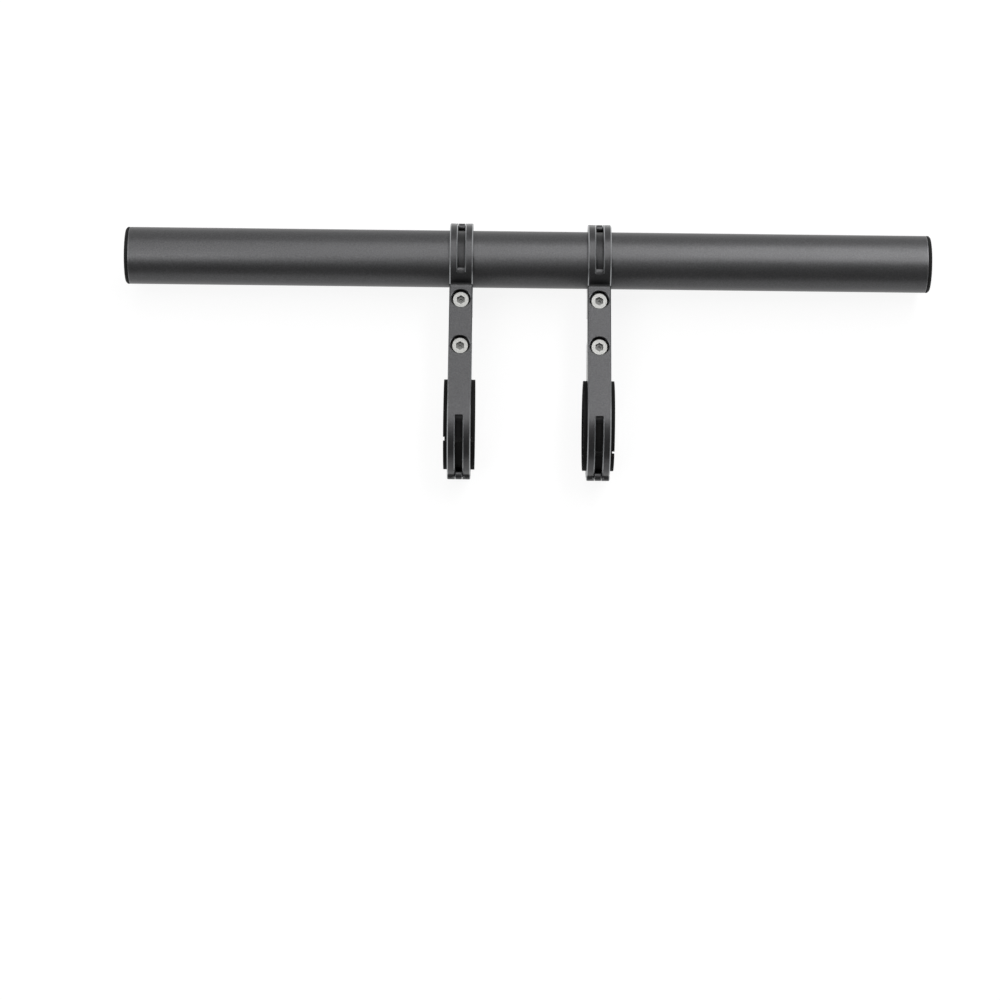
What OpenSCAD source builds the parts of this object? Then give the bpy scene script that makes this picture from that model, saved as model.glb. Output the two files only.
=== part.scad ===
// Handlebar extender: a straight accessory tube carried by two machined brackets.
// The bar axis is X and the origin lies on it, midway between the brackets.
// The tube runs parallel to the bar, in front of it at +Y. Both axes lie in the split plane Z = 0.

/* [Tube] */
// Outside diameter of the accessory tube
tube_d = 22.2; // [18:0.1:26]
// Wall of the accessory tube
tube_wall = 1.6; // [1.2:0.1:2.5]
// Length of the tube without its end plugs
tube_len = 311; // [180:1:400]
// Distance of the tube's middle from the middle between the brackets, along +X
tube_shift = -1; // [-20:0.5:20]
// Thickness of an end plug's flange
plug_flange_t = 1.2; // [0.8:0.1:2]
// Depth of an end plug's spigot inside the tube
plug_depth = 11; // [8:0.5:18]
// Wall of an end plug's spigot
plug_wall = 1.4; // [1:0.1:2]
// Number of sealing ribs on an end plug
plug_ribs = 3; // [2:1:4]

/* [Bracket] */
// Width of a bracket along the bar
bracket_w = 9; // [8.5:0.1:12]
// Distance between the two brackets, centre to centre
bracket_spacing = 53.7; // [40:0.1:90]
// Distance from the bar axis to the tube axis
axis_distance = 66; // [62:0.5:80]
// Wall of the ring round the bar
bar_ring_wall = 2.85; // [2.4:0.05:4]
// Wall of the ring round the tube
tube_ring_wall = 2.4; // [2.2:0.05:3.5]
// Height of the arm's sloping top face over the tube axis, square to the face
face_over_tube = 3.6; // [2:0.1:5]
// Gap between the arm and the caps at the split plane
split_gap = 1; // [0.6:0.1:1.6]
// Bevel on the outer edges of the rings, arm and caps
edge_bevel = 0.4; // [0.2:0.05:0.7]
// Bevel at the mouths of the ring bores
bore_bevel = 0.3; // [0.1:0.05:0.5]
// Fillet where the arm's top face meets the tube ring
valley_r = 1.6; // [1:0.1:3]

/* [Bar and liner] */
// Diameter of the handlebar that the brackets clamp
bar_d = 31.8; // [25.4:0.1:35]
// Thickness of the rubber liner
liner_t = 1.5; // [1:0.1:2.5]
// Width of the rubber liner
liner_w = 12; // [9:0.5:16]
// Width of the slit in the rubber liner
liner_slit = 2; // [1:0.1:4]
// Angle of the left liner's slit behind the top of the bar
slit_angle_left = 31; // [20:1:60]
// Angle of the right liner's slit behind the top of the bar
slit_angle_right = 49; // [20:1:60]

/* [Hinges] */
// Radius of the hinge knuckle on the bar ring
bar_knuckle_r = 2; // [1.8:0.05:2.4]
// Radius of the hinge knuckle on the tube ring
tube_knuckle_r = 1.5; // [1.45:0.05:2]
// Diameter of the hinge pins
pin_d = 1.5; // [1.2:0.1:1.8]
// Width of the slot that takes a cap's tongue
slot_w = 2.9; // [2.4:0.1:3.4]
// Side clearance of a tongue in its slot
tongue_clear = 0.15; // [0.1:0.01:0.3]
// Radius of the run-out at the closed end of a slot
runout_r = 5; // [4:0.25:7]
// Angle of the bar ring's run-out behind the top of the ring
bar_runout_angle = 13.5; // [5:0.5:25]
// Angle of the tube ring's run-out behind the top of the ring
tube_runout_angle = 20; // [5:0.5:25]

/* [Screws] */
// Distance from the bar axis to the bar screw
bar_screw_y = 28.8; // [27:0.1:29.5]
// Distance from the tube axis back to the tube screw
tube_screw_back = 17.7; // [17:0.1:19]
// Diameter of the screw shank at the middle of its thread
screw_d = 3.6; // [3:0.1:3.8]
// Diameter of the screw head
head_d = 7; // [6:0.1:7.2]
// Height of the screw head
head_h = 2.8; // [2:0.1:3]
// Bevel on the upper edge of the screw head
head_bevel = 0.5; // [0.2:0.05:0.8]
// Width across the flats of the hexagon socket
socket_af = 3; // [2:0.1:3.4]
// Depth of the hexagon socket
socket_depth = 1.6; // [1:0.1:2]
// Diameter of the pilot recess in the floor of the socket
pilot_d = 1.4; // [1:0.1:1.8]
// Depth of the pilot recess
pilot_depth = 0.8; // [0.4:0.1:1.2]
// Bevel round the mouths of the counterbores
mouth_bevel = 0.3; // [0.1:0.05:0.3]
// Depth of the head's top under the arm's face, on the screw's axis
head_sink = 2.6; // [2:0.1:2.8]
// Length under the head of the bar screw
bar_screw_len = 14; // [12:0.5:14.5]
// Length under the head of the tube screw
tube_screw_len = 8; // [6:0.5:8.5]
// Thickness of a cap's screw ear
ear_t = 5.5; // [4:0.1:7]
// Reach of a cap's ear past the middle of its screw
ear_over = 4.4; // [3.8:0.1:4.8]

/* [Hidden] */
$fn = 96;
// Radial clearances: liner in its ring, tube in its ring, pin in the prongs, pin in the tongue
liner_clear = 0.15;
tube_clear = 0.15;
pin_press = 0.01;
pin_run = 0.05;
// Gap between a knuckle and the bore beside it, and between a cap and the prongs round the pin
knuckle_gap = 0.05;
swing_gap = 0.3;
// Clearances round a screw: head in its counterbore, shank in the arm, shank in the cap
head_clear = 0.25;
shank_clear = 0.4;
swing_clear = 0.45;
pin_recess = 0.1;
plug_clear = 0.05;
// Height of the slot saw's centre over the ring when it stops
runout_lift = 1.8;
// Share of the run-out that the bevel along the slot reaches
bevel_share = 0.9;
ear_fillet_r = 3;
tip_bevel = 0.35;
over = 1;

bar_bore_r = bar_d / 2 + liner_t + liner_clear;
tube_bore_r = tube_d / 2 + tube_clear;
bar_ring_r = bar_bore_r + bar_ring_wall;
tube_ring_r = tube_bore_r + tube_ring_wall;
bar_pin_y = bar_bore_r + knuckle_gap + bar_knuckle_r;
tube_pin_y = tube_bore_r + knuckle_gap + tube_knuckle_r;
tube_screw_y = axis_distance - tube_screw_back;
face_slope = asin((bar_ring_r - face_over_tube) / axis_distance);
tube_bore_inner_r = tube_d / 2 - tube_wall;
half_gap = split_gap / 2;
half_w = bracket_w / 2;
left_x = -bracket_spacing / 2;
right_x = bracket_spacing / 2;

// Height of the sloping top face over the split plane, at a distance y from the bar axis
function face_z(y) = (bar_ring_r - y * sin(face_slope)) / cos(face_slope);

// Turns a shape made about Z so that its axis is X
module along_x() {
    rotate([0, 90, 0]) children();
}

// Extrudes an outline drawn as (y, z) points to a width across the bracket
module across(width) {
    rotate([90, 0, 90]) translate([0, 0, -width / 2]) linear_extrude(height = width) children();
}

// Disc about X with bevelled rims
module bevelled_disc(radius, width, bevel) {
    along_x() rotate_extrude() polygon([
        [0, -width / 2], [radius - bevel, -width / 2], [radius, -width / 2 + bevel],
        [radius, width / 2 - bevel], [radius - bevel, width / 2], [0, width / 2]]);
}

// Cutter for a hole about X whose mouths are bevelled
module bevelled_bore(radius, width, bevel) {
    reach = width / 2 + over;
    along_x() rotate_extrude() polygon([
        [0, -reach], [radius + bevel + over, -reach], [radius, -width / 2 + bevel],
        [radius, width / 2 - bevel], [radius + bevel + over, reach], [0, reach]]);
}

// Half space below (side = -1) or above (side = 1) a height, as a block round the bracket
module half_block(height, side) {
    size = 3 * axis_distance;
    translate([-size / 2, -size / 2, side > 0 ? height : height - size]) cube(size);
}

// Centre of a fillet between a circle about (cy, 0) and a line whose unit normal is n, at distance k
function fillet_centre(cy, radius, n, k, r, side) =
    let (lift = k + r - n[0] * cy, run = side * sqrt(pow(radius + r, 2) - pow(lift, 2)))
    [cy + n[0] * lift + n[1] * run, n[1] * lift - n[0] * run];

// Material that fills the corner between that circle and that line, with a round hollow
module corner_fillet(cy, radius, n, k, r, side) {
    f = fillet_centre(cy, radius, n, k, r, side);
    on_line = [f[0] - n[0] * r, f[1] - n[1] * r];
    toward = [cy - f[0], -f[1]] / (radius + r);
    on_circle = [f[0] + toward[0] * r, f[1] + toward[1] * r];
    inside = [on_line[0] + toward[0] * r - n[0] * r / 2, on_line[1] + toward[1] * r - n[1] * r / 2];
    difference() {
        across(bracket_w - 2 * edge_bevel) polygon([on_line, f, on_circle, inside]);
        translate([0, f[0], f[1]]) along_x() cylinder(r = r, h = bracket_w, center = true);
    }
}

// Extension tube and its end plugs

module extension_tube() {
    color("#3a3b3d")
    translate([tube_shift, axis_distance, 0]) difference() {
        bevelled_disc(tube_d / 2, tube_len, bore_bevel);
        along_x() cylinder(r = tube_bore_inner_r, h = tube_len + 2 * over, center = true);
    }
}

module end_plug(side) {
    rib_r = tube_bore_inner_r - plug_clear;
    body_r = rib_r - plug_wall / 2;
    rib_pitch = plug_depth / (plug_ribs + 1);
    rib_t = rib_pitch / 2;
    dome = plug_flange_t / 2;
    color("#111213")
    translate([tube_shift + side * tube_len / 2, axis_distance, 0]) rotate([0, side * 90, 0]) difference() {
        union() {
            rotate_extrude() polygon([
                [0, 0], [tube_d / 2, 0], [tube_d / 2, plug_flange_t - dome],
                [tube_d / 2 - dome, plug_flange_t], [0, plug_flange_t]]);
            translate([0, 0, -plug_depth]) cylinder(r = body_r, h = plug_depth + plug_flange_t / 2);
            for (i = [1 : plug_ribs])
                translate([0, 0, -i * rib_pitch])
                    cylinder(r1 = body_r, r2 = rib_r, h = rib_t);
        }
        translate([0, 0, -plug_depth - over]) cylinder(r = body_r - plug_wall, h = plug_depth + over);
    }
}

// Arm: the upper half of both rings and the beam between them

// Slot for a cap's tongue, in the quarter of a ring from its run-out to the hinge at +Y
module tongue_slot(ring_r, runout_angle, pin_y, knuckle_r) {
    reach = pin_y + knuckle_r + over;
    edge = [sin(runout_angle), cos(runout_angle)];
    saw = ring_r + runout_lift;
    bevel_end = runout_angle - bevel_share * runout_sweep(ring_r);
    across(slot_w) polygon([
        [0, 0], edge * ring_r, edge * saw, [reach, saw], [reach, -knuckle_r - over], [0, -knuckle_r - over]]);
    translate([0, edge[0] * saw, edge[1] * saw])
        along_x() cylinder(r = runout_r, h = slot_w, center = true);
    intersection() {
        along_x() rotate_extrude() polygon([
            [ring_r - edge_bevel, -slot_w / 2], [ring_r + over, -slot_w / 2 - edge_bevel - over],
            [ring_r + over, slot_w / 2 + edge_bevel + over], [ring_r - edge_bevel, slot_w / 2]]);
        across(bracket_w) polygon([
            [0, 0], [sin(bevel_end), cos(bevel_end)] * 2 * saw, [reach, 2 * saw], [reach, 0]]);
    }
}

// Angle from the run-out's centre to the place where it leaves a ring's outer face
function runout_sweep(ring_r) =
    let (saw = ring_r + runout_lift)
    acos((ring_r * ring_r + saw * saw - runout_r * runout_r) / (2 * ring_r * saw));

// Bar ring and beam: the beam's sloping top leaves the ring where it touches it, square to its radius there
module ring_and_beam() {
    top = bar_ring_r - edge_bevel;
    rotate([-face_slope, 0, 0]) {
        difference() {
            bevelled_disc(bar_ring_r, bracket_w, edge_bevel);
            translate([-bracket_w, 0, -2 * bar_ring_r]) cube([2 * bracket_w, 2 * bar_ring_r, 4 * bar_ring_r]);
        }
        rotate([-90, 0, 0]) mirror([0, 1, 0]) linear_extrude(height = axis_distance * cos(face_slope)) polygon([
            [-half_w, 0], [-half_w, top], [edge_bevel - half_w, bar_ring_r],
            [half_w - edge_bevel, bar_ring_r], [half_w, top], [half_w, 0]]);
    }
}

// Hole and counterbore for a screw at a distance y from the bar axis; the mouth's bevel is square to the face
module screw_hole(y) {
    counterbore_r = head_d / 2 + head_clear;
    translate([0, y, 0]) {
        cylinder(d = screw_d + 2 * shank_clear, h = seat_z(y) + over);
        translate([0, 0, seat_z(y)]) cylinder(r = counterbore_r, h = face_z(0));
        translate([0, 0, face_z(y)]) rotate([-face_slope, 0, 0]) translate([0, 0, -2 * mouth_bevel])
            cylinder(r1 = counterbore_r - mouth_bevel, r2 = counterbore_r + 2 * mouth_bevel, h = 3 * mouth_bevel);
    }
}

// Hole for a hinge pin through the whole width
module pin_hole(y, clearance) {
    translate([0, y, 0])
        along_x() cylinder(r = pin_d / 2 + clearance, h = bracket_w + 2 * over, center = true);
}

module arm(x) {
    n = [sin(face_slope), cos(face_slope)];
    color("#3b3c3f") translate([x, 0, 0]) difference() {
        union() {
            difference() {
                union() {
                    ring_and_beam();
                    translate([0, axis_distance, 0]) bevelled_disc(tube_ring_r, bracket_w, edge_bevel);
                    corner_fillet(axis_distance, tube_ring_r, n, bar_ring_r, valley_r, -1);
                }
                half_block(half_gap, -1);
                bevelled_bore(bar_bore_r, bracket_w, bore_bevel);
                translate([0, axis_distance, 0]) bevelled_bore(tube_bore_r, bracket_w, bore_bevel);
            }
            translate([0, -bar_pin_y, 0]) bevelled_disc(bar_knuckle_r, bracket_w, bore_bevel);
            translate([0, axis_distance + tube_pin_y, 0]) bevelled_disc(tube_knuckle_r, bracket_w, bore_bevel);
        }
        pin_hole(-bar_pin_y, pin_press);
        pin_hole(axis_distance + tube_pin_y, pin_press);
        mirror([0, 1, 0]) tongue_slot(bar_ring_r, bar_runout_angle, bar_pin_y, bar_knuckle_r);
        translate([0, axis_distance, 0])
            tongue_slot(tube_ring_r, -tube_runout_angle, tube_pin_y, tube_knuckle_r);
        screw_hole(bar_screw_y);
        screw_hole(tube_screw_y);
    }
}

// Caps: the lower half of a ring, with a hinge tongue at one end and a screw ear at the other

// Cap of one ring, with its hinge towards +Y and its ear towards -Y
module cap_solid(ring_r, bore_r, pin_y, knuckle_r, screw_back) {
    tongue_w = slot_w - 2 * tongue_clear;
    ear_end = screw_back + ear_over;
    difference() {
        union() {
            difference() {
                cap_ring(ring_r, bore_r, bracket_w, edge_bevel);
                translate([0, pin_y, 0])
                    along_x() cylinder(r = knuckle_r + swing_gap, h = bracket_w + 2 * over, center = true);
            }
            cap_ring(ring_r, bore_r, tongue_w, bore_bevel);
            translate([0, pin_y, 0]) bevelled_disc(knuckle_r, tongue_w, bore_bevel / 2);
            difference() {
                union() {
                    ear_block(ear_end);
                    corner_fillet(0, ring_r, [0, -1], half_gap + ear_t, ear_fillet_r, 1);
                }
                along_x() cylinder(r = (ring_r + bore_r) / 2, h = bracket_w + 2 * over, center = true);
                half_block(-half_gap, 1);
            }
        }
        pin_hole(pin_y, pin_run);
        translate([0, -screw_back, -half_gap - ear_t - over])
            cylinder(d = screw_d + 2 * swing_clear, h = ear_t + 2 * over);
    }
}

// Lower half of a ring
module cap_ring(ring_r, bore_r, width, bevel) {
    difference() {
        bevelled_disc(ring_r, width, bevel);
        half_block(-half_gap, 1);
        bevelled_bore(bore_r, bracket_w, bore_bevel);
    }
}

// Screw ear from the ring's middle out to its end, with bevelled lower edges
module ear_block(ear_end) {
    low = -half_gap - ear_t;
    difference() {
        translate([-half_w, -ear_end, low]) cube([bracket_w, ear_end, ear_t]);
        for (side = [-1, 1])
            translate([side * half_w, 0, low]) rotate([0, 45, 0])
                cube([edge_bevel * sqrt(2), 3 * ear_end, edge_bevel * sqrt(2)], center = true);
        translate([0, -ear_end, low]) rotate([45, 0, 0])
            cube([bracket_w + 2 * over, edge_bevel * sqrt(2), edge_bevel * sqrt(2)], center = true);
    }
}

module bar_cap(x) {
    color("#333437") translate([x, 0, 0]) mirror([0, 1, 0])
        cap_solid(bar_ring_r, bar_bore_r, bar_pin_y, bar_knuckle_r, bar_screw_y);
}

module tube_cap(x) {
    color("#333437") translate([x, axis_distance, 0])
        cap_solid(tube_ring_r, tube_bore_r, tube_pin_y, tube_knuckle_r, tube_screw_back);
}

// Hinge pins, screws and liners

module hinge_pin(x, y) {
    length = bracket_w - 2 * pin_recess;
    color("#55565a") translate([x, y, 0]) bevelled_disc(pin_d / 2, length, pin_recess);
}

// Height of the seat under a screw's head, at a distance y from the bar axis
function seat_z(y) = face_z(y) - head_sink - head_h;

// Low-head screw seated in its counterbore, its socket's corners towards +Y and -Y
module cap_screw(x, y, length) {
    socket_r = socket_af / 2 / cos(30);
    color("#d8d9dc") translate([x, y, seat_z(y)]) difference() {
        rotate_extrude() polygon([
            [0, -length], [screw_d / 2 - tip_bevel, -length], [screw_d / 2, -length + tip_bevel],
            [screw_d / 2, 0], [head_d / 2, 0], [head_d / 2, head_h - head_bevel],
            [head_d / 2 - head_bevel, head_h], [0, head_h]]);
        translate([0, 0, head_h - socket_depth]) {
            rotate([0, 0, 90]) cylinder(r = socket_r, h = socket_depth + over, $fn = 6);
            translate([0, 0, -pilot_depth]) cylinder(d = pilot_d, h = pilot_depth + over);
        }
    }
}

// Rubber strip round the bar, open at a slit
module bar_liner(x, slit_angle) {
    outer_r = bar_d / 2 + liner_t;
    color("#0c0c0d") translate([x, 0, 0]) difference() {
        along_x() cylinder(r = outer_r, h = liner_w, center = true);
        along_x() cylinder(d = bar_d, h = liner_w + 2 * over, center = true);
        rotate([slit_angle, 0, 0])
            translate([-liner_w / 2 - over, -liner_slit / 2, 0])
                cube([liner_w + 2 * over, liner_slit, outer_r + over]);
    }
}

extension_tube();
end_plug(-1);  // end_plug_left
end_plug(1);  // end_plug_right
arm(left_x);  // arm_left
arm(right_x);  // arm_right
bar_cap(left_x);  // bar_cap_left
bar_cap(right_x);  // bar_cap_right
tube_cap(left_x);  // tube_cap_left
tube_cap(right_x);  // tube_cap_right
hinge_pin(left_x, -bar_pin_y);  // bar_hinge_pin_left
hinge_pin(right_x, -bar_pin_y);  // bar_hinge_pin_right
hinge_pin(left_x, axis_distance + tube_pin_y);  // tube_hinge_pin_left
hinge_pin(right_x, axis_distance + tube_pin_y);  // tube_hinge_pin_right
cap_screw(left_x, bar_screw_y, bar_screw_len);  // bar_screw_left
cap_screw(right_x, bar_screw_y, bar_screw_len);  // bar_screw_right
cap_screw(left_x, tube_screw_y, tube_screw_len);  // tube_screw_left
cap_screw(right_x, tube_screw_y, tube_screw_len);  // tube_screw_right
bar_liner(left_x, slit_angle_left);  // bar_liner_left
bar_liner(right_x, slit_angle_right);  // bar_liner_right
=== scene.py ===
"""Handlebar extender: a black anodised accessory tube on two hinged clamp brackets."""

import math

import bpy
import numpy as np
from mathutils import Matrix, Vector


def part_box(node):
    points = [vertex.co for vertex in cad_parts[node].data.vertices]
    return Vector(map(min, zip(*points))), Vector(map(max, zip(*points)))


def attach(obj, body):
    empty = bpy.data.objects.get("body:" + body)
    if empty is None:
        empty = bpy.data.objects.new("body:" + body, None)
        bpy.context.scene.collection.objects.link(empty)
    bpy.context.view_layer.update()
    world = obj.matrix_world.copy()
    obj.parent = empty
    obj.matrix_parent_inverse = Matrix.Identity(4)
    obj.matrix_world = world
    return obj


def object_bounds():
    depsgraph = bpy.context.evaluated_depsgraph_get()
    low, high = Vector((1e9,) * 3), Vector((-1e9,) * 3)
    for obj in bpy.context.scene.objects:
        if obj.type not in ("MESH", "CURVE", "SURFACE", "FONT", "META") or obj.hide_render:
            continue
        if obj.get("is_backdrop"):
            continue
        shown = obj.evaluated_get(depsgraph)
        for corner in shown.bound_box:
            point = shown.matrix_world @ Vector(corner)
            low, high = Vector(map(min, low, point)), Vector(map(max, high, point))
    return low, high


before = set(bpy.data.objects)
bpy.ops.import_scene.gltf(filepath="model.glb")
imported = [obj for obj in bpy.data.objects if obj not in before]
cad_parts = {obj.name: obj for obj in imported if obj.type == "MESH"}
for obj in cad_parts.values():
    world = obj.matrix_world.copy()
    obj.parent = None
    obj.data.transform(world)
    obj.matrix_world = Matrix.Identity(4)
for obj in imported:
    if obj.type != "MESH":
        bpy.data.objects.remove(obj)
cad_low, cad_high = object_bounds()


# Extension tube
# A drawn aluminium tube, cut to length, bead blasted and then anodised black. The blasting gives it
# a soft, even sheen, the drawing a trace of lengthwise lines, and the cut ends a bright bevel, which also
# carries a painted highlight.

MM = 0.001


def linear(hex_colour):
    """An sRGB hex colour as linear red, green, blue and an alpha of 1."""
    levels = [int(hex_colour[i : i + 2], 16) / 255 for i in (1, 3, 5)]
    return [c / 12.92 if c <= 0.04045 else ((c + 0.055) / 1.055) ** 2.4 for c in levels] + [1.0]


def add(tree, kind, inputs=None, **settings):
    """Adds a node. The inputs are values, or sockets to link, by socket name or number."""
    made = tree.nodes.new("ShaderNode" + kind)
    for name, value in settings.items():
        setattr(made, name, value)
    for name, value in (inputs or {}).items():
        if isinstance(value, bpy.types.NodeSocket):
            tree.links.new(value, made.inputs[name])
        else:
            made.inputs[name].default_value = value
    return made


def new_material(name, **constants):
    """A material with one Principled shader, its constant values set on the shader's own sockets."""
    material = bpy.data.materials.new(name)
    material.use_nodes = True
    tree = material.node_tree
    shader = tree.nodes["Principled BSDF"]
    for socket, value in constants.items():
        shader.inputs[socket.replace("_", " ")].default_value = value
    return material, tree, shader


def dress(piece, material):
    """Puts one material on every face of a piece."""
    piece.data.materials.clear()
    piece.data.materials.append(material)


def middle(node):
    """Middle of a CAD node's box."""
    low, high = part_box(node)
    return (low + high) / 2


# Real blasting leaves pits of about 0.12 mm. They are drawn at 0.55 mm, so that they show at all.
BLAST_GRAIN = 0.55 * MM
BLAST_DEPTH = 0.02 * MM
BLAST_BUMP = 0.35
# Most of a noise texture lies between these two values
NOISE_RANGE = (0.3, 0.7)
BLAST_SHADE = (0.85, 1.15)
# A drawing line is squeezed along x, which makes it fifty times as long as it is wide
DRAW_LINE = 0.9 * MM
DRAW_SQUEEZE = 0.02
# The dye's sheen changes a little from place to place
CLOUD_SIZE = 18 * MM
CLOUD_SHARE = 0.08
# Black dye in the metal's oxide skin leaves about a twelfth of the metal's own reflection
ANODISED_BLACK = "#4f4f50"
# Painted highlight: the grey that chamfers facing sideways are brightened towards
EDGE_HIGHLIGHT_GREY = "#a9abad"
# The painted highlight on a chamfer rises over the first pair of its normal's x part and falls over the
# second
CHAMFER_RISE = (0.45, 0.6)
CHAMFER_FALL = (0.8, 0.9)
EDGE_LEAST = 0.45
EDGE_SPREAD = 0.5


def anodised(name, hex_colour, roughness, line_share):
    """Anodised aluminium. Chamfers that face about 45 degrees sideways get a painted highlight in their
    colour.
    """
    material, tree, shader = new_material(name, Metallic=1.0)
    place = add(tree, "TexCoord")
    centred = place.outputs["Object"]
    grain = add(tree, "TexNoise", {"Vector": centred, "Scale": 1 / BLAST_GRAIN, "Detail": 2.0})
    squeezed = add(tree, "Mapping", {"Vector": centred, "Scale": (DRAW_SQUEEZE, 1.0, 1.0)})
    lines = add(tree, "TexNoise", {"Vector": squeezed.outputs[0], "Scale": 1 / DRAW_LINE, "Detail": 3.0})
    cloud = add(tree, "TexNoise", {"Vector": centred, "Scale": 1 / CLOUD_SIZE, "Detail": 2.0})
    streaks = add(tree, "Math", {0: lines.outputs[0], 1: line_share}, operation="MULTIPLY")
    uneven = add(
        tree, "Math", {0: cloud.outputs[0], 1: CLOUD_SHARE, 2: streaks.outputs[0]}, operation="MULTIPLY_ADD"
    )
    base = roughness - CLOUD_SHARE / 2 - line_share / 2
    rough = add(tree, "Math", {0: uneven.outputs[0], 1: base}, operation="ADD")
    facing = add(tree, "SeparateXYZ", {0: place.outputs["Normal"]})
    sideways = add(tree, "Math", {0: facing.outputs[0]}, operation="ABSOLUTE")
    rise = add(tree, "MapRange", {0: sideways.outputs[0], 1: CHAMFER_RISE[0], 2: CHAMFER_RISE[1]})
    fall = add(tree, "MapRange", {0: sideways.outputs[0], 1: CHAMFER_FALL[1], 2: CHAMFER_FALL[0]})
    chamfer = add(tree, "Math", {0: rise.outputs[0], 1: fall.outputs[0]}, operation="MULTIPLY")
    highlight_grain = add(tree, "Math", {0: grain.outputs[0], 1: EDGE_SPREAD, 2: EDGE_LEAST}, operation="MULTIPLY_ADD")
    bright = add(tree, "Math", {0: chamfer.outputs[0], 1: highlight_grain.outputs[0]}, operation="MULTIPLY")
    spread = {1: NOISE_RANGE[0], 2: NOISE_RANGE[1], 3: BLAST_SHADE[0], 4: BLAST_SHADE[1]}
    shade = add(tree, "MapRange", {0: grain.outputs[0], **spread})
    speckle = add(tree, "MixRGB", {0: 1.0, 1: linear(hex_colour), 2: shade.outputs[0]}, blend_type="MULTIPLY")
    colour = add(tree, "MixRGB", {0: bright.outputs[0], 1: speckle.outputs[0], 2: linear(EDGE_HIGHLIGHT_GREY)})
    bump = add(tree, "Bump", {"Height": grain.outputs[0], "Strength": BLAST_BUMP, "Distance": BLAST_DEPTH})
    tree.links.new(colour.outputs[0], shader.inputs["Base Color"])
    tree.links.new(rough.outputs[0], shader.inputs["Roughness"])
    tree.links.new(bump.outputs[0], shader.inputs["Normal"])
    return material


def scale_colour(material, mask, share):
    """Multiplies a material's base colour by share where the mask is 1."""
    tree = material.node_tree
    shader = tree.nodes["Principled BSDF"]
    base = shader.inputs["Base Color"].links[0].from_socket
    factor = add(tree, "Math", {0: mask, 1: share - 1, 2: 1.0}, operation="MULTIPLY_ADD")
    colour = add(tree, "MixRGB", {0: 1.0, 1: base, 2: factor.outputs[0]}, blend_type="MULTIPLY")
    tree.links.new(colour.outputs[0], shader.inputs["Base Color"])


# A strip of the tube shows at the foot of each bracket's slot, darkened there with painted shade.
ARM_X = middle("arm_right")[0]
SLOT_HALF = 1.55 * MM
SLOT_SHADE_SHARE = 0.5


def slot_shade_strip(tree):
    """1 where the absolute value of x is less than half a slot from the middle of an arm."""
    place = add(tree, "TexCoord")
    at = add(tree, "SeparateXYZ", {0: place.outputs["Object"]})
    out = add(tree, "Math", {0: at.outputs[0]}, operation="ABSOLUTE")
    return add(tree, "Math", {0: out.outputs[0], 1: ARM_X, 2: SLOT_HALF}, operation="COMPARE").outputs[0]


# Cutting and deburring leave the last part of each end brighter.
END_BAND = 0.6 * MM
END_SHARE = 1.6


def end_bands(tree, node):
    """1 where the distance along x from a node's middle is within a band's width of half its length."""
    low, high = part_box(node)
    place = add(tree, "TexCoord")
    at = add(tree, "SeparateXYZ", {0: place.outputs["Object"]})
    along = add(tree, "Math", {0: at.outputs[0], 1: middle(node)[0]}, operation="SUBTRACT")
    out = add(tree, "Math", {0: along.outputs[0]}, operation="ABSOLUTE")
    half = (high[0] - low[0]) / 2
    return add(tree, "Math", {0: out.outputs[0], 1: half, 2: END_BAND}, operation="COMPARE").outputs[0]


tube_finish = anodised("blasted_drawn_anodised_tube", ANODISED_BLACK, roughness=0.4, line_share=0.06)
# Painted shade: the tube is darker where it shows in the brackets' slots
scale_colour(tube_finish, slot_shade_strip(tube_finish.node_tree), SLOT_SHADE_SHARE)
scale_colour(tube_finish, end_bands(tube_finish.node_tree, "extension_tube"), END_SHARE)
dress(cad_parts["extension_tube"], tube_finish)


# End plugs
# Ribbed plugs of black low-density polyethylene, pressed into the tube's two ends up to their thin
# flange. Moulded in a spark-eroded tool, so they are matt and swallow most light.

SIDES = ("left", "right")
PIT_DEPTH = 0.03 * MM
PIT_BUMP = 0.4
PIT_ROUGHNESS = 0.08
# Dust lies in patches, where its noise is over the first value, and is thickest at the second
DUST_SIZE = 6 * MM
DUST_RANGE = (0.5, 0.85)
DUST_SHARE = 0.15
DUST_GREY = "#2b2b2b"


def moulded(name, hex_colour, grain, roughness):
    """Moulded black plastic or rubber, with the fine even texture of its tool and a little dust."""
    material, tree, shader = new_material(name, IOR=1.5, Specular_IOR_Level=0.2)
    place = add(tree, "TexCoord")
    pits = add(tree, "TexNoise", {"Vector": place.outputs["Object"], "Scale": 1 / grain, "Detail": 3.0})
    dust = add(tree, "TexNoise", {"Vector": place.outputs["Object"], "Scale": 1 / DUST_SIZE, "Detail": 4.0})
    pale = add(tree, "MapRange", {0: dust.outputs[0], 1: DUST_RANGE[0], 2: DUST_RANGE[1], 4: DUST_SHARE})
    colour = add(tree, "MixRGB", {0: pale.outputs[0], 1: linear(hex_colour), 2: linear(DUST_GREY)})
    bump = add(tree, "Bump", {"Height": pits.outputs[0], "Strength": PIT_BUMP, "Distance": PIT_DEPTH})
    smoothest, roughest = roughness - PIT_ROUGHNESS, roughness + PIT_ROUGHNESS
    rough = add(tree, "MapRange", {0: pits.outputs[0], 3: smoothest, 4: roughest})
    tree.links.new(colour.outputs[0], shader.inputs["Base Color"])
    tree.links.new(rough.outputs[0], shader.inputs["Roughness"])
    tree.links.new(bump.outputs[0], shader.inputs["Normal"])
    return material


plug_finish = moulded("moulded_polyethylene", "#070707", grain=0.4 * MM, roughness=0.7)
for side in SIDES:
    dress(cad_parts[f"end_plug_{side}"], plug_finish)


# Brackets: arms and caps
# Each arm is milled from one aluminium bar with the upper halves of both rings. The two caps are the
# lower halves. All are bead blasted and anodised black like the tube, with chamfers along every rim.

BRACKET_BLACK = "#474748"
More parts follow.
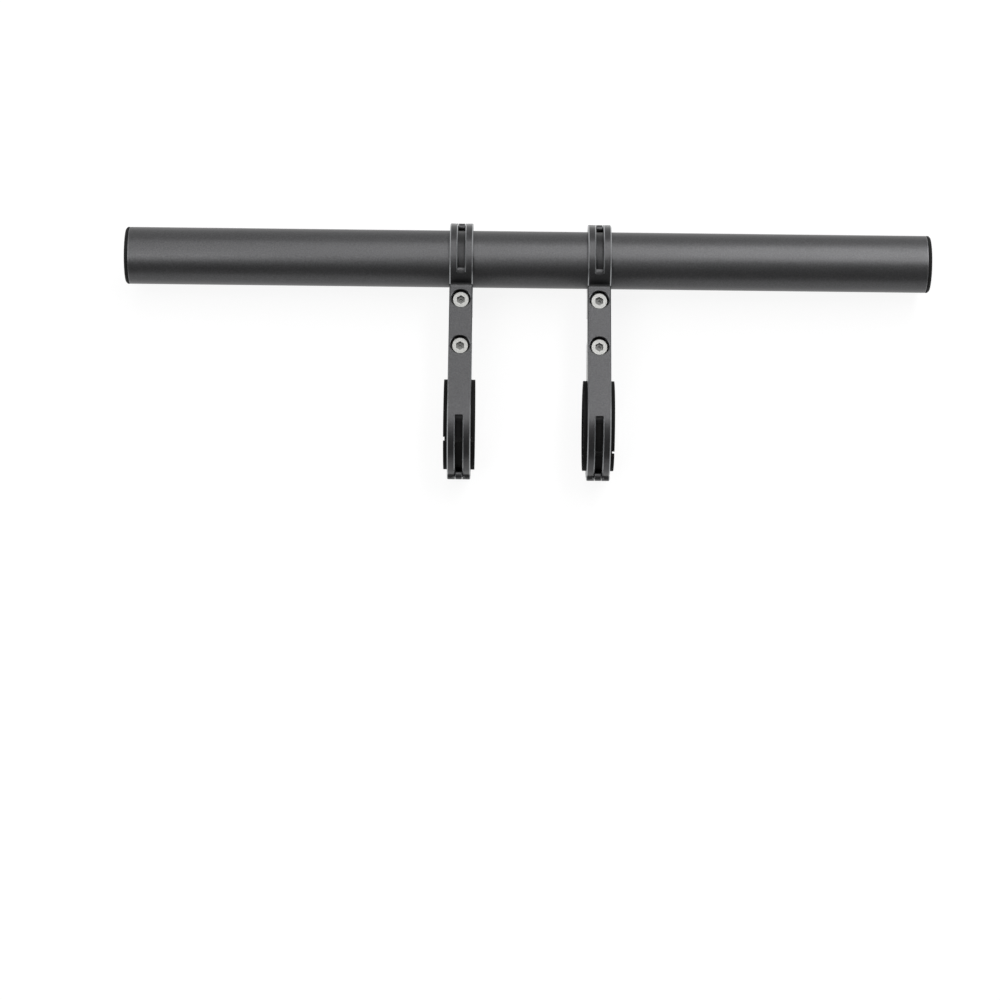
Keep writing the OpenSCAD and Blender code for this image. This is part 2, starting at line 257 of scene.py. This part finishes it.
# The slots' floors and ends are darkened with painted shade, as they lie deep between the walls. For
# each ring: the y of its axis, a radius just under its rim, the side of the axis where its slot lies, the
# slot's reach past it.
SLOTS = ((0.0, 20.3 * MM, -1, 4.6 * MM), (66.0 * MM, 13.35 * MM, 1, 5.6 * MM))
SLOT_FLOOR_SHADE = 0.55


def slot_floor_shade_mask(tree):
    """1 in the slot's strip where, on the slot's side of a ring's axis, the radius is less than the rim's."""
    place = add(tree, "TexCoord")
    at = add(tree, "SeparateXYZ", {0: place.outputs["Object"]})
    total = 0.0
    for axis_y, rim, way, reach in SLOTS:
        y = add(tree, "Math", {0: at.outputs[1], 1: axis_y}, operation="SUBTRACT")
        ahead = add(tree, "Math", {0: y.outputs[0], 1: way, 2: reach}, operation="MULTIPLY_ADD")
        inside = add(tree, "Math", {0: ahead.outputs[0], 1: 0.0}, operation="GREATER_THAN")
        flat = add(tree, "CombineXYZ", {1: y.outputs[0], 2: at.outputs[2]})
        radius = add(tree, "VectorMath", {0: flat.outputs[0]}, operation="LENGTH")
        below = add(tree, "Math", {0: radius.outputs["Value"], 1: rim}, operation="LESS_THAN")
        both = add(tree, "Math", {0: inside.outputs[0], 1: below.outputs[0]}, operation="MULTIPLY")
        total = add(tree, "Math", {0: both.outputs[0], 1: total}, operation="ADD").outputs[0]
    return add(tree, "Math", {0: total, 1: slot_shade_strip(tree)}, operation="MULTIPLY").outputs[0]


cap_finish = anodised("blasted_milled_anodised_cap", BRACKET_BLACK, roughness=0.3, line_share=0.0)
arm_finish = anodised("blasted_milled_anodised_arm", BRACKET_BLACK, roughness=0.3, line_share=0.0)
# Painted shade in the floors and ends of the arms' slots
scale_colour(arm_finish, slot_floor_shade_mask(arm_finish.node_tree), SLOT_FLOOR_SHADE)
for side in SIDES:
    dress(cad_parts[f"arm_{side}"], arm_finish)
    for piece in ("bar_cap", "tube_cap"):
        dress(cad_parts[f"{piece}_{side}"], cap_finish)


# Hinge pins
# Ground steel dowels with blackened ends, pressed into the arm's two prongs and left free in the
# cap's tongue.

X_AXIS = (1.0, 0.0, 0.0)
RING_DEPTH = 0.006 * MM
RING_BUMP = 0.25
# Handling leaves smears that change the shine and the shade a little
SMEAR_SIZE = 1.2 * MM
SMEAR_ROUGHNESS = 0.1
SMEAR_SHADE = (0.82, 1.0)


def turned_steel(name, hex_colour, roughness, axis_at, along, ring):
    """Steel with the fine rings that turning leaves round its axis, through the point axis_at."""
    material, tree, shader = new_material(name, Metallic=1.0)
    place = add(tree, "TexCoord")
    centred = add(tree, "VectorMath", {0: place.outputs["Object"], 1: axis_at}, operation="SUBTRACT")
    square_to_axis = [1 - c for c in along]
    across = add(tree, "VectorMath", {0: centred.outputs[0], 1: square_to_axis}, operation="MULTIPLY")
    radius = add(tree, "VectorMath", {0: across.outputs[0]}, operation="LENGTH")
    turns = add(tree, "Math", {0: radius.outputs["Value"], 1: math.tau / ring}, operation="MULTIPLY")
    rings = add(tree, "Math", {0: turns.outputs[0]}, operation="SINE")
    smear = add(tree, "TexNoise", {"Vector": centred.outputs[0], "Scale": 1 / SMEAR_SIZE, "Detail": 3.0})
    smoothest, roughest = roughness - SMEAR_ROUGHNESS, roughness + SMEAR_ROUGHNESS
    rough = add(tree, "MapRange", {0: smear.outputs[0], 3: smoothest, 4: roughest})
    shade = add(tree, "MapRange", {0: smear.outputs[0], 3: SMEAR_SHADE[0], 4: SMEAR_SHADE[1]})
    colour = add(tree, "MixRGB", {0: 1.0, 1: linear(hex_colour), 2: shade.outputs[0]}, blend_type="MULTIPLY")
    bump = add(tree, "Bump", {"Height": rings.outputs[0], "Strength": RING_BUMP, "Distance": RING_DEPTH})
    tree.links.new(colour.outputs[0], shader.inputs["Base Color"])
    tree.links.new(rough.outputs[0], shader.inputs["Roughness"])
    tree.links.new(bump.outputs[0], shader.inputs["Normal"])
    return material


for side in SIDES:
    for ring in ("bar", "tube"):
        name = f"{ring}_hinge_pin_{side}"
        finish = turned_steel(
            f"blackened_steel_{name}",
            "#3c3c3e",
            roughness=0.35,
            axis_at=middle(name),
            along=X_AXIS,
            ring=0.12 * MM,
        )
        dress(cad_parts[name], finish)


# Clamp screws
# M4 stainless socket screws with a low head, turned and then thread-rolled, one for each cap. The
# thread is a ridge round the plain shank, from just above the tip to just under the head. The
# socket's inside is darkened with painted shade.

Z_AXIS = (0.0, 0.0, 1.0)
THREAD_PITCH = 0.7 * MM
THREAD_CREST_R = 2.0 * MM
THREAD_OVER_TIP = 0.6 * MM
THREAD_UNDER_HEAD = 0.9 * MM
# The ridge's foot is sunk a little into the shank. Its half widths are shares of the pitch.
THREAD_SINK = 0.06 * MM
FOOT_HALF = 0.44
CREST_HALF = 0.08
RUN_OUT_TURNS = 0.5
STEPS_PER_TURN = 40
SHANK_R = 1.8 * MM
HEAD_HEIGHT = 2.8 * MM
SOCKET_R = 1.9 * MM
SOCKET_UNDER_TOP = 0.1 * MM
SOCKET_SHADE_SHARE = 0.42


def socket_shade_mask(tree, axis_x, axis_y, top):
    """1 at a radius under the socket's and a height within the head, a little clear of its two faces."""
    place = add(tree, "TexCoord")
    head = (axis_x, axis_y, top - HEAD_HEIGHT / 2)
    centred = add(tree, "VectorMath", {0: place.outputs["Object"], 1: head}, operation="SUBTRACT")
    at = add(tree, "SeparateXYZ", {0: centred.outputs[0]})
    flat = add(tree, "CombineXYZ", {0: at.outputs[0], 1: at.outputs[1]})
    radius = add(tree, "VectorMath", {0: flat.outputs[0]}, operation="LENGTH")
    near = add(tree, "Math", {0: radius.outputs["Value"], 1: SOCKET_R}, operation="LESS_THAN")
    half = HEAD_HEIGHT / 2 - SOCKET_UNDER_TOP
    deep = add(tree, "Math", {0: at.outputs[2], 1: 0.0, 2: half}, operation="COMPARE")
    return add(tree, "Math", {0: near.outputs[0], 1: deep.outputs[0]}, operation="MULTIPLY").outputs[0]


def thread_ridge(name, centre_x, centre_y, low, high):
    """A ridge of trapezoid section on a helix: turn t lies at height low + t * pitch, after t full turns.

    Its crest rises from the shank over the first half turn and sinks back over the last half turn, so
    both ends close.
    """
    turns = (high - low) / THREAD_PITCH
    t = np.linspace(0.0, turns, int(turns * STEPS_PER_TURN) + 1)
    rise = np.clip(np.minimum(t, turns - t) / RUN_OUT_TURNS, 0.0, 1.0)
    foot = np.full_like(t, SHANK_R - THREAD_SINK)
    crest = SHANK_R + rise * (THREAD_CREST_R - SHANK_R)
    radius = np.stack([foot, crest, crest, foot], axis=1)
    offset = THREAD_PITCH * np.array([-FOOT_HALF, -CREST_HALF, CREST_HALF, FOOT_HALF])
    height = low + t[:, None] * THREAD_PITCH + offset
    angle = math.tau * t[:, None]
    x = centre_x + radius * np.cos(angle)
    y = centre_y + radius * np.sin(angle)
    points = np.stack([x, y, height], axis=2).reshape(-1, 3)
    corners = radius.shape[1]
    first = np.arange(len(t) - 1)[:, None] * corners
    here = first + np.arange(corners)
    beside = first + (np.arange(corners) + 1) % corners
    quads = np.stack([here, here + corners, beside + corners, beside], axis=2).reshape(-1, corners)
    last = corners * (len(t) - 1)
    faces = quads.tolist() + [[0, 1, 2, 3], [last + 3, last + 2, last + 1, last]]
    mesh = bpy.data.meshes.new(name)
    mesh.from_pydata(points.tolist(), [], faces)
    mesh.update()
    piece = bpy.data.objects.new(name, mesh)
    bpy.context.collection.objects.link(piece)
    return piece


for side in SIDES:
    for ring in ("bar", "tube"):
        name = f"{ring}_screw_{side}"
        low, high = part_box(name)
        axis_x, axis_y, _ = middle(name)
        finish = turned_steel(
            f"stainless_{name}",
            "#949492",
            roughness=0.42,
            axis_at=middle(name),
            along=Z_AXIS,
            ring=0.25 * MM,
        )
        # Painted shade inside each screw's socket
        scale_colour(finish, socket_shade_mask(finish.node_tree, axis_x, axis_y, high[2]), SOCKET_SHADE_SHARE)
        dress(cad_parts[name], finish)
        thread_low = low[2] + THREAD_OVER_TIP
        thread_high = high[2] - HEAD_HEIGHT - THREAD_UNDER_HEAD
        ridge = thread_ridge(f"{ring}_screw_thread_{side}", axis_x, axis_y, thread_low, thread_high)
        dress(ridge, finish)
        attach(ridge, name)


# Bar liners
# A strip of black rubber inside each bar ring, a little wider than the bracket, bent round and open at
# its slit. Moulded, with a dull bloom that hides any reflection.

liner_finish = moulded("moulded_rubber_liner", "#0a0a0a", grain=0.5 * MM, roughness=0.85)
for side in SIDES:
    dress(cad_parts[f"bar_liner_{side}"], liner_finish)


# Stage: camera, lamps, floor and world
# The camera looks steeply down on the part from its -Y side, as the photograph's did, with a long lens
# and a slight roll.

PHOTO_SIZE = 1000
ORIGIN_IN_PHOTO = (528.7, 425.3)
FOCAL_PIXELS = 3280.0
SENSOR = 36.0
DISTANCE = 1.27
NEAREST = 0.05
SIGHT_ELEVATION = math.radians(79.5)
SIGHT_ROLL = math.radians(0.66)

camera_data = bpy.data.cameras.new("camera")
camera_data.sensor_width = SENSOR
camera_data.lens = FOCAL_PIXELS / PHOTO_SIZE * SENSOR
camera_data.clip_start = NEAREST
camera = bpy.data.objects.new("camera", camera_data)
bpy.context.collection.objects.link(camera)
bpy.context.scene.camera = camera
turn = Matrix.Rotation(math.pi / 2 - SIGHT_ELEVATION, 3, "X") @ Matrix.Rotation(SIGHT_ROLL, 3, "Z")
to_origin = Vector(
    (ORIGIN_IN_PHOTO[0] - PHOTO_SIZE / 2, PHOTO_SIZE / 2 - ORIGIN_IN_PHOTO[1], -FOCAL_PIXELS)
).normalized()
camera.matrix_world = Matrix.LocRotScale(turn @ to_origin * -DISTANCE, turn, None)


def softbox(name, place, aim, width, depth, radiance, spin=0.0):
    """A rectangular lamp at a place, facing a point, with a given radiance, and spun on its own axis."""
    data = bpy.data.lights.new(name, "AREA")
    data.shape = "RECTANGLE"
    data.size, data.size_y = width, depth
    data.energy = radiance * math.pi * width * depth
    lamp = bpy.data.objects.new(name, data)
    lamp.location = place
    facing = (Vector(aim) - Vector(place)).to_track_quat("-Z", "Y").to_matrix()
    lamp.rotation_euler = (facing @ Matrix.Rotation(math.radians(spin), 3, "Z")).to_euler()
    bpy.context.collection.objects.link(lamp)


softbox("overhead_softbox", (0.05, 0.93, 1.5), (0.05, 0.93, 0.0), width=1.2, depth=1.9, radiance=1.75)
softbox(
    "left_softbox", (-0.62, -0.42, 1.5), (-0.62, -0.42, 0.0), width=0.68, depth=1.05, radiance=4.3, spin=-18.6
)
softbox("right_softbox", (0.48, 1.0, 1.45), (0.48, 1.0, 0.0), width=0.32, depth=2.3, radiance=6.0)
softbox("back_right_panel", (0.95, 1.6, 0.85), (0.0, 0.05, 0.0), width=1.3, depth=1.0, radiance=1.4)

# The room is pale low down on its two sides and towards +Y, and dim overhead and towards -Y. The first
# pair is the sines of about 20 and 44 degrees up, between which its walls fade out. The second pair is
# how far towards +Y a direction points where they fade in.
WALL_FADE = (0.35, 0.7)
SIDE_FADE = (-0.6, -0.1)
ROOM_LIGHT = 0.3
WALL_LIGHT = 0.6

world = bpy.data.worlds.new("studio")
bpy.context.scene.world = world
world.use_nodes = True
tree = world.node_tree
sky = tree.nodes["Background"]
sky.inputs["Color"].default_value = (1.0, 1.0, 1.0, 1.0)
place = add(tree, "TexCoord")
toward = add(tree, "SeparateXYZ", {0: place.outputs["Object"]})
height = add(tree, "Math", {0: toward.outputs[2]}, operation="ABSOLUTE")
wall = add(tree, "MapRange", {0: height.outputs[0], 1: WALL_FADE[0], 2: WALL_FADE[1], 3: 1.0, 4: 0.0})
open_side = add(tree, "MapRange", {0: toward.outputs[1], 1: SIDE_FADE[0], 2: SIDE_FADE[1]})
pale = add(tree, "Math", {0: wall.outputs[0], 1: open_side.outputs[0]}, operation="MULTIPLY")
light = add(tree, "Math", {0: pale.outputs[0], 1: WALL_LIGHT, 2: ROOM_LIGHT}, operation="MULTIPLY_ADD")
tree.links.new(light.outputs[0], sky.inputs["Strength"])

# The floor's own grey takes the shadow. Its lift, which only camera, glossy and transmission rays see,
# brings it up to white.
FLOOR_HALF = 20.0
FLOOR_GREY = "#6c6c6c"
FLOOR_LIFT = 0.86

floor_z = cad_low[2]
floor_mesh = bpy.data.meshes.new("floor")
corners = [(x, y, floor_z) for x, y in ((-1, -1), (1, -1), (1, 1), (-1, 1))]
floor_mesh.from_pydata([(x * FLOOR_HALF, y * FLOOR_HALF, z) for x, y, z in corners], [], [(0, 1, 2, 3)])
floor = bpy.data.objects.new("floor", floor_mesh)
bpy.context.collection.objects.link(floor)
floor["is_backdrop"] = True
paper, tree, shader = new_material("white_paper_floor", Roughness=0.9, Specular_IOR_Level=0.0)
shader.inputs["Base Color"].default_value = linear(FLOOR_GREY)
path = add(tree, "LightPath")
camera_ray, glossy_ray = path.outputs["Is Camera Ray"], path.outputs["Is Glossy Ray"]
either = add(tree, "Math", {0: camera_ray, 1: glossy_ray}, operation="MAXIMUM")
through_ray = path.outputs["Is Transmission Ray"]
seen = add(tree, "Math", {0: either.outputs[0], 1: through_ray}, operation="MAXIMUM")
lift = add(tree, "Math", {0: seen.outputs[0], 1: FLOOR_LIFT}, operation="MULTIPLY")
shader.inputs["Emission Color"].default_value = (1.0, 1.0, 1.0, 1.0)
tree.links.new(lift.outputs[0], shader.inputs["Emission Strength"])
dress(floor, paper)

bpy.context.scene.view_settings.view_transform = "Standard"

low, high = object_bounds()
